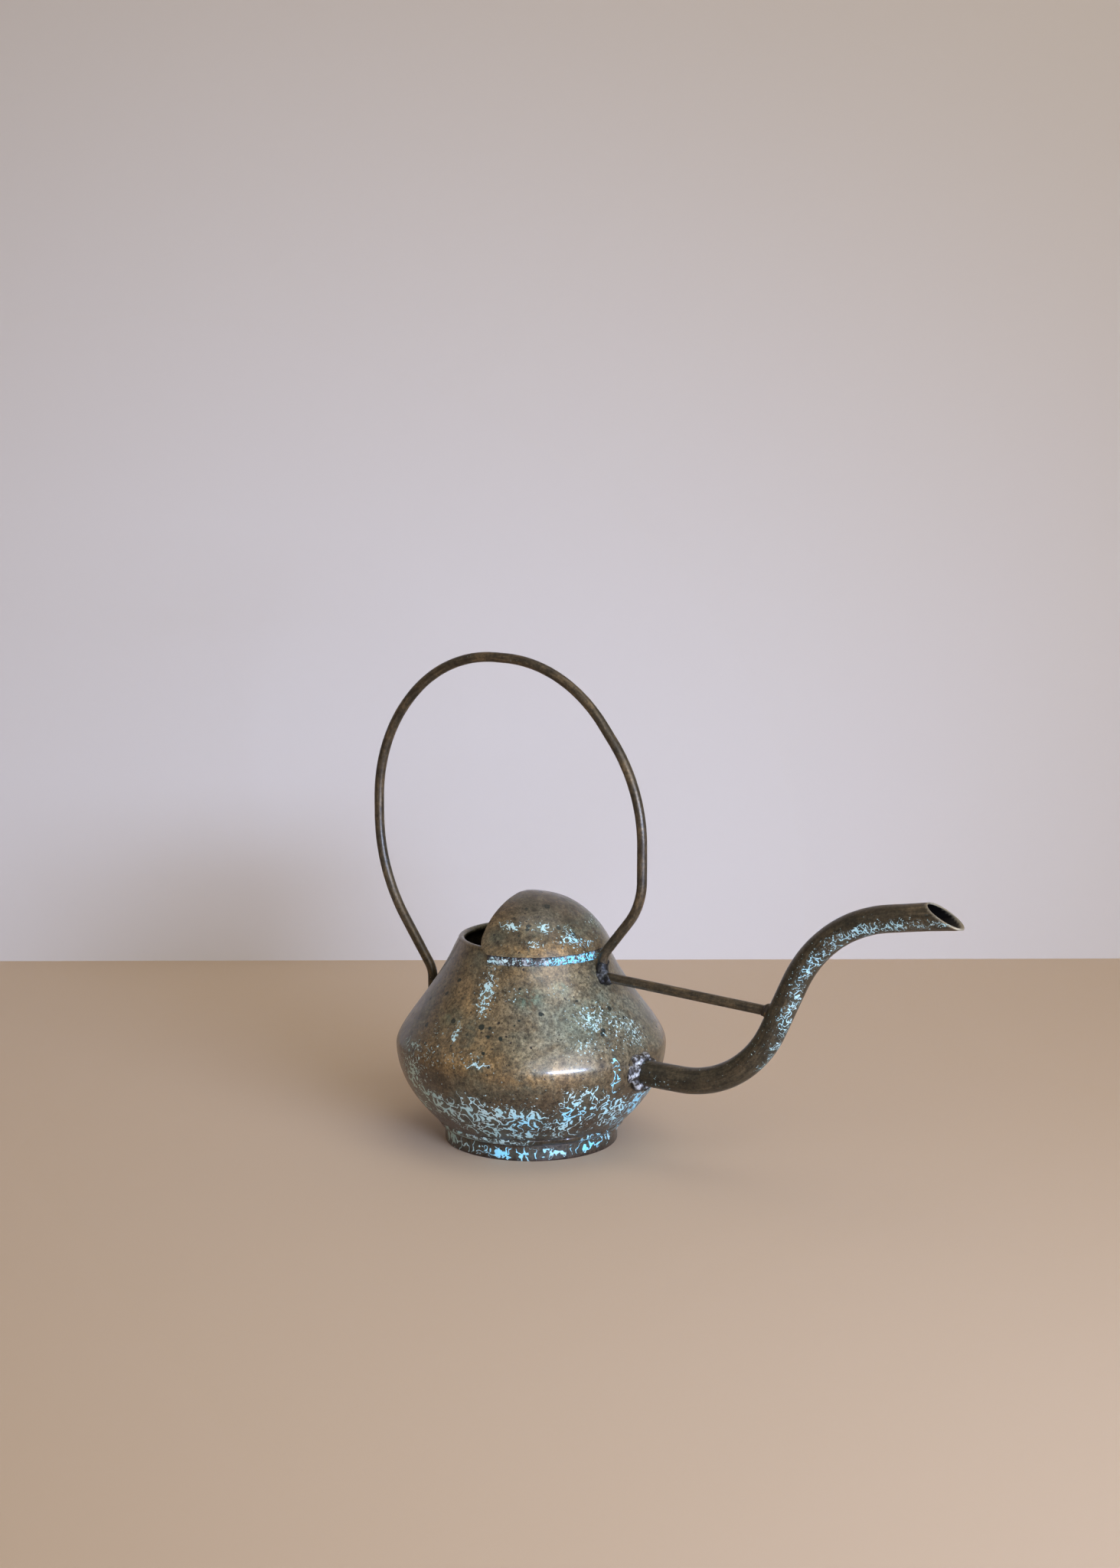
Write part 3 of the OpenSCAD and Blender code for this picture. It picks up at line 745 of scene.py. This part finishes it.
def copper_hood():
    rises = [HOOD_CORNER_R * (1 - math.cos(math.radians(6 * k))) for k in range(15)]
    corner = [dome_at_height(HOOD_Z + rise) for rise in rises]
    ticks = corner + [corner[-1] + (1 - corner[-1]) * k / 44 for k in range(1, 45)]
    line = [on_curve(DOME, t) for t in ticks]
    bm = bmesh.new()
    verts = [bm.verts.new((-p.x, 0, p.y)) for p in line[:-1]] + [bm.verts.new((0, 0, CROWN_Z))]
    edges = [bm.edges.new(pair) for pair in zip(verts, verts[1:])]
    bmesh.ops.spin(
        bm, geom=verts + edges, cent=(0, 0, 0), axis=(0, 0, 1), angle=2 * math.pi, steps=180,
        use_merge=False,
    )
    # each row goes all the way round, and is drawn in until its two ends lie on the hood's open edge
    rows = {}
    for v in bm.verts:
        rows.setdefault(round(v.co.z, 4), []).append(v)
    for z, row in rows.items():
        radius = math.hypot(row[0].co.x, row[0].co.y)
        if radius <= HOOD_BACK:
            continue
        share = math.acos(max(-1, min(1, hood_edge_x(z) / radius))) / math.pi
        for k, v in enumerate(row):
            angle = math.atan2(v.co.y, v.co.x)
            if abs(abs(angle) - math.pi) < 0.001:
                angle = -math.pi if k == 0 else math.pi
            v.co.x = radius * math.cos(angle * share)
            v.co.y = radius * math.sin(angle * share)
    close_up(bm, 0.002)
    if sum(f.normal.z * f.calc_area() for f in bm.faces) < 0:
        bmesh.ops.reverse_faces(bm, faces=bm.faces)
    bmesh.ops.solidify(bm, geom=bm.faces[:], thickness=SHEET_T)
    soft_edges(bm, 0.28)

    def waver(co):
        out = Vector((co.x, co.y, co.z - 110)).normalized()
        return out * (0.3 * ripple(co, 21, 4.4) + 0.1 * ripple(co, 8, 9.2))

    push(bm, waver)
    lay_patches(bm, "bloom", [
        (-50, 119, 6, 3, 0.9), (-30, 120, 4, 3, 0.8), (-20, 121, 5, 4, 0.8), (-44, 127, 6, 3, 0.8),
        (-76, 127, 7, 3, 0.9), (-12, 118, 8, 4, 0.7), (20, 124, 14, 6, 0.6), (60, 122, 14, 7, 0.7),
    ])
    lay_patches(bm, "crust", [
        (-50, 119, 7, 3, 0.95), (-25, 120, 7, 4, 0.8), (-4, 117, 14, 4, 0.6), (-42, 127, 8, 3, 0.95),
        (-76, 127, 7, 3, 0.9), (-20, 126, 5, 3, 0.6), (50, 118, 18, 6, 0.7),
    ])
    lay_patches(bm, "cyan", [(-10, 118, 14, 5, 0.4), (60, 118, 14, 5, 0.5)])
    lay_patches(bm, "teal", [
        (-50, 125, 8, 4, 0.5), (-84, 122, 9, 5, 0.6), (-20, 124, 8, 5, 0.4), (30, 126, 20, 8, 0.5),
    ])
    lay_patches(bm, "warm", [
        (-66, 116.5, 26, 3.5, 0.9), (-40, 115.5, 20, 3, 0.8), (-92, 125, 14, 10, 0.8),
        (-56, 125, 26, 6, 0.6), (-30, 117, 20, 5, 0.5), (60, 119, 22, 5, 0.5),
    ])
    lay_patches(bm, "dull", [(-34, 134, 26, 6, 0.3), (20, 128, 24, 12, 0.5)])
    lay_patches(bm, "dark", [(-54, 138, 90, 12, 0.5), (-84, 121, 16, 7, 0.5), (-24, 126, 30, 10, 0.35)])
    lay_patches(bm, "fleck", [
        (-84, 121, 14, 8, 1.0), (-24, 122, 22, 9, 1.0), (-54, 135, 30, 8, 0.9), (60, 128, 40, 14, 0.8),
    ])
    finish_piece(bm, "copper_hood", SHEET, ["hood"])


def hood_bead():
    outline = [
        (43.2, 107.6), (43.9, 108.3), (43.9, 109.3), (43.6, 110.3), (43.3, 111.3), (42.8, 112.1),
        (42.0, 112.7), (41.2, 112.6), (41.3, 111.0), (41.9, 109.4), (42.5, 108.0),
    ]
    whole = math.radians(174)
    bm = bmesh.new()
    bmesh.ops.spin(
        bm, geom=drawn_loop(bm, outline), cent=(0, 0, 0), axis=(0, 0, 1), angle=whole, steps=200,
        use_merge=False,
    )
    bmesh.ops.rotate(bm, cent=(0, 0, 0), matrix=Matrix.Rotation(-whole / 2, 3, "Z"), verts=bm.verts)
    cap_ends(bm)
    swell(bm, lambda co: 0.35 * ripple(co, 5, 6.1) + 0.2 * ripple(co, 1.9, 3.3))
    lay_patches(bm, "crust", [
        (-29, 109, 16, 5, 1.0), (-9, 109, 12, 5, 1.0), (-78, 109, 8, 4, 0.9), (40, 109, 30, 6, 0.9),
    ])
    lay_patches(bm, "bloom", [(-76, 110, 12, 4, 1.0), (-54, 110, 14, 3, 0.6), (-25, 110, 20, 4, 0.9)])
    lay_patches(bm, "cyan", [(-29, 109, 14, 6, 0.85), (-9, 109, 12, 6, 0.95), (40, 109, 24, 6, 0.8)])
    finish_piece(bm, "hood_bead", PALE_SOLDER, ["hood_solder"])


copper_hood()
hood_bead()

# ---------------------------------------------------------------- the spout, the hoop and the brace


def copper_spout():
    bm = swept(SPOUT_ROUTE, TUBE_R, TUBE_SIDES, TUBE_STEP)
    # the tube widens a little over its last part
    grain = bm.verts.layers.float_vector["grain"]
    tip_along = max(v[grain].z for v in bm.verts) / MM - TIP_SPARE
    tip = Vector((SPOUT_TIP.x, 0, SPOUT_TIP.y))
    along = Vector((math.cos(END_A), 0, math.sin(END_A)))
    for v in bm.verts:
        near = min(1.0, max(0.0, (v[grain].z / MM - tip_along + 26) / 30))
        if near > 0:
            bow = Vector((v.co.x, 0, v.co.z)) - tip
            out = Vector((0, v.co.y, 0)) + bow - along * bow.dot(along)
            v.co += out.normalized() * (0.4 * near * near)
    ahead = END_A - TIP_A
    cut_off(bm, tip, (-math.sin(ahead), 0, math.cos(ahead)))
    bmesh.ops.recalc_face_normals(bm, faces=bm.faces)
    if sum(f.normal.y * f.calc_center_median().y for f in bm.faces) < 0:
        bmesh.ops.reverse_faces(bm, faces=bm.faces)
    # the cut lip is painted pale, as rubbed copper with a painted highlight on its edge, and the inside of
    # the tube is painted in shade
    rub_and_painted_highlight = bm.verts.layers.float.new("rub_and_painted_highlight")
    painted_bore_shade = bm.verts.layers.float.new("dark")
    outside = set(bm.verts)
    bmesh.ops.solidify(bm, geom=bm.faces[:], thickness=TUBE_WALL)
    for v in bm.verts:
        off_cut = SPOUT_TIP - Vector((v.co.x, v.co.z))
        behind = off_cut.dot(Vector((-math.sin(ahead), math.cos(ahead))))
        v[rub_and_painted_highlight] = max(0.0, 1 - behind / 0.9) if v.co.x > SPOUT_TURN.x else 0.0
        v[painted_bore_shade] = 0.0 if v in outside else 1.0 - v[rub_and_painted_highlight]
    soft_edges(bm, 0.25)
    push(bm, lambda co: (0, 0.10 * ripple(co, 16, 2.4), 0.12 * ripple(co, 22, 6.4)))
    stain_bar(bm, "crust", [
        (92, -15, 22, 35, 0.7), (120, -32, 20, 38, 0.85), (150, -48, 24, 40, 0.9), (180, -55, 22, 38, 0.9),
        (210, -62, 20, 34, 0.75), (234, -66, 14, 26, 0.6), (6, 180, 6, 80, 0.5),
    ])
    stain_bar(bm, "cyan", [(150, -60, 40, 40, 0.25)])
    stain_bar(bm, "bloom", [
        (215, -60, 30, 40, 0.55), (165, -70, 40, 45, 0.5), (100, -90, 50, 60, 0.4), (20, -60, 20, 60, 0.4),
    ])
    finish_piece(bm, "copper_spout", TUBE, ["spout_tube"])


def under_foot(land, side):
    """A plane half-way through the sheet below a foot of the hoop."""
    slope = (shoulder_z(abs(land.x) + 1) - shoulder_z(abs(land.x) - 1)) / 2
    down = Vector((slope * side, 0, -1)).normalized()
    return Vector((land.x, 0, land.y)) + down * (SHEET_T / 2), down


def cut_off_near(bm, place, towards, reach=14):
    """Cuts only the bar's end close to a place."""
    near = [f for f in bm.faces if (f.calc_center_median() - place).length < reach]
    geom = list({g for f in near for g in list(f.verts) + list(f.edges)}) + near
    bmesh.ops.bisect_plane(bm, geom=geom, plane_co=place, plane_no=towards, clear_outer=True, dist=0.0001)


def copper_hoop():
    bm = swept(HOOP_ROUTE, ROD_R, ROD_SIDES, ROD_STEP)
    cut_off_near(bm, *under_foot(FRONT_LAND, 1))
    cut_off_near(bm, *under_foot(REAR_LAND, -1))
    cap_ends(bm)
    finish_piece(bm, "copper_hoop", ROD, ["handle_hoop"])


def copper_brace():
    bm = swept(BRACE_ROUTE, ROD_R, ROD_SIDES, ROD_STEP)
    cap_ends(bm)
    finish_piece(bm, "copper_brace", ROD, ["spout_brace"])


copper_spout()
copper_hoop()
copper_brace()

# ---------------------------------------------------------------- the solder lumps


def solder_lump(name, nodes, blobs, material, cut=None, stains=()):
    """Blobs, each (centre, radii), melted into one lump. Cut is a plane that it stops at."""
    bm = bmesh.new()
    for centre, radii in blobs:
        shape = Matrix.Translation(centre) @ Matrix.Diagonal((*radii, 1))
        bmesh.ops.create_icosphere(bm, subdivisions=3, radius=1, matrix=shape)
    mesh = bpy.data.meshes.new(name)
    bm.to_mesh(mesh)
    bm.free()
    loose = bpy.data.objects.new(name, mesh)
    bpy.context.scene.collection.objects.link(loose)
    melt = loose.modifiers.new("melt", "REMESH")
    melt.mode = "VOXEL"
    melt.voxel_size = 0.45
    even = loose.modifiers.new("even", "SMOOTH")
    even.factor = 0.5
    even.iterations = 3
    whole = bpy.data.meshes.new_from_object(loose.evaluated_get(bpy.context.evaluated_depsgraph_get()))
    bpy.data.objects.remove(loose)
    bpy.data.meshes.remove(mesh)
    bm = bmesh.new()
    bm.from_mesh(whole)
    bpy.data.meshes.remove(whole)
    if cut:
        cut_off(bm, *cut)
        cap_ends(bm)
    swell(bm, lambda co: 0.35 * ripple(co, 3.4, 5.1) + 0.15 * ripple(co, 1.5, 2.6))
    for layer_name, patches in stains:
        lay_patches(bm, layer_name, patches)
    finish_piece(bm, name, material, nodes)


front = Vector((FRONT_LAND.x, 0, FRONT_LAND.y))
rear = Vector((REAR_LAND.x, 0, REAR_LAND.y))
joint = Vector((BRACE_END.x, 0, BRACE_END.y))

solder_lump(
    "knee_solder", ["front_foot_solder"],
    [
        (front + Vector((-0.2, 0, -0.6)), (4.6, 5.0, 3.6)),
        (front + Vector((0.0, -0.3, 4.2)), (3.5, 3.7, 5.6)),
        (front + Vector((3.4, -0.2, -1.0)), (4.2, 3.8, 3.6)),
        (front + Vector((-1.6, -2.6, 0.6)), (2.2, 2.2, 2.8)),
        (front + Vector((1.2, -3.0, -1.8)), (2.8, 2.2, 2.0)),
        (front + Vector((0.6, 1.8, 7.6)), (2.2, 2.0, 2.6)),
    ],
    DARK_SOLDER, under_foot(FRONT_LAND, 1),
)
solder_lump(
    "rear_solder", ["rear_foot_solder"],
    [
        (rear + Vector((0.2, 0, -0.5)), (5.2, 5.4, 4.4)),
        (rear + Vector((0.2, 0.4, 2.6)), (3.9, 4.0, 3.4)),
        (rear + Vector((-2.2, 2.0, -1.5)), (3.0, 3.4, 2.6)),
    ],
    DARK_SOLDER, under_foot(REAR_LAND, -1),
)
solder_lump(
    "brace_solder_lump", ["brace_solder"],
    [
        (joint + Vector((-7.6, 0, 0.2)), (2.6, 4.2, 4.2)),
        (joint + Vector((-9.4, 0, 0.2)), (2.8, 3.2, 3.2)),
    ],
    BROWN_SOLDER,
)


def spout_collar():
    # a ring of blobs round the tube, and two that ran further over the belly
    blobs = []
    count, ring_r = 14, TUBE_R + 1
    for k in range(count):
        turn = 2 * math.pi * k / count
        y, z = ring_r * math.cos(turn), ring_r * math.sin(turn)
        size = 2.7 + 0.5 * math.sin(k * 2.3)
        blobs.append((
            Vector((BELLY_R - 0.2 + 0.3 * math.sin(k * 1.9), y, SPOUT_Z + z)),
            (size * 1.15, size, size),
        ))
    blobs.append((Vector((BELLY_R - 1.2, -10.6, SPOUT_Z + 1)), (2.0, 2.6, 5.0)))
    blobs.append((Vector((BELLY_R - 0.6, -6.2, SPOUT_Z + 8.6)), (2.2, 3.6, 2.8)))
    solder_lump(
        "spout_collar", ["spout_solder"], blobs, PALE_SOLDER, None,
        [("crust", [(2, 38, 10, 5, 0.9)]), ("cyan", [(2, 38, 10, 6, 0.6)])],
    )


spout_collar()

# ---------------------------------------------------------------- CAD nodes that stay

for node, material in (("base_disc", SHEET), ("rim_wire", SHEET), ("base_solder", PALE_SOLDER)):
    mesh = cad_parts[node].data
    mesh.materials.clear()
    mesh.materials.append(material)

# ---------------------------------------------------------------- floor, light and camera

WALL_AWAY = 0.42            # metres, as are the other sizes from here on
MIDDLE = Vector((0.06, 0, 0.09))


def studio():
    floor_mesh = bpy.data.meshes.new("pale_floor")
    bm = bmesh.new()
    bmesh.ops.create_circle(bm, cap_ends=True, radius=30, segments=96)
    bm.to_mesh(floor_mesh)
    bm.free()
    floor = bpy.data.objects.new("pale_floor", floor_mesh)
    bpy.context.scene.collection.objects.link(floor)
    # Tinted plaster, trowelled smooth: a warm sand colour that is matt, with a faint sheen at a low angle.
    material, _, skin = blank("pale_plaster_floor")
    skin.inputs["Base Color"].default_value = colour("#bca488")
    skin.inputs["Roughness"].default_value = 0.75
    floor_mesh.materials.append(material)

    wall_mesh = bpy.data.meshes.new("pale_wall")
    bm = bmesh.new()
    half = 3
    bmesh.ops.create_grid(bm, x_segments=1, y_segments=1, size=half)
    stand = Matrix.Rotation(math.pi / 2, 4, "X")
    away = Vector((-math.sin(CAN_TURN), math.cos(CAN_TURN), 0)) * WALL_AWAY
    turned = Matrix.Translation(away + Vector((0, 0, half))) @ Matrix.Rotation(CAN_TURN, 4, "Z") @ stand
    bmesh.ops.transform(bm, matrix=turned, verts=bm.verts)
    bm.to_mesh(wall_mesh)
    bm.free()
    wall = bpy.data.objects.new("pale_wall", wall_mesh)
    bpy.context.scene.collection.objects.link(wall)
    # Brushed plaster: paler and greyer than the floor, and fully matt.
    material, tree, skin = blank("pale_plaster_wall")
    skin.inputs["Base Color"].default_value = colour("#c0b5a7")
    skin.inputs["Roughness"].default_value = 0.85
    # from behind, the wall is not there, so that the can shows from every side
    behind = add(tree, "NewGeometry", {}, "Backfacing")
    either = add(tree, "MixShader", {0: behind, 1: skin.outputs[0], 2: add(tree, "BsdfTransparent", {})})
    tree.links.new(either, tree.nodes["Material Output"].inputs["Surface"])
    wall_mesh.materials.append(material)

    world = bpy.data.worlds.new("soft_studio")
    world.use_nodes = True
    back = world.node_tree.nodes["Background"]
    back.inputs["Color"].default_value = colour("#d8cdc3")
    back.inputs["Strength"].default_value = 0.36
    bpy.context.scene.world = world

    for name, place, size, power, spread, tint in (
        ("window_right", (1.5, -0.7, 1.0), (1.8, 1.2), 25, 180, "#f2f5ff"),
        ("window_low", (1.3, -0.58, 0.27), (0.8, 0.2), 3.6, 50, "#b4ccff"),
        ("fill_left", (-1.3, -1.2, 1.4), (1.6, 1.6), 2.5, 180, "#fff2e4"),
        ("top", (0.3, 0.2, 1.9), (1.4, 1.4), 9, 180, "#ffffff"),
    ):
        light = bpy.data.lights.new(name, "AREA")
        light.shape = "RECTANGLE"
        light.size, light.size_y = size
        light.energy = power
        light.spread = math.radians(spread)
        light.color = colour(tint)[:3]
        lamp = bpy.data.objects.new(name, light)
        lamp.location = place
        aim = MIDDLE - Vector(place)
        lamp.rotation_euler = aim.to_track_quat("-Z", "Y").to_euler()
        bpy.context.scene.collection.objects.link(lamp)


def camera():
    distance, height, tilt, turn = 1.600, 0.48624, 0.177, 0.010
    eye = bpy.data.cameras.new("eye")
    eye.sensor_width = 36
    eye.lens = 68.10
    holder = bpy.data.objects.new("eye", eye)
    holder.location = (distance * math.sin(CAN_TURN), -distance * math.cos(CAN_TURN), height)
    holder.rotation_euler = (math.pi / 2 - tilt, 0, CAN_TURN - turn)
    bpy.context.scene.collection.objects.link(holder)
    bpy.context.scene.camera = holder


studio()
camera()
bpy.context.scene.view_settings.view_transform = "Standard"
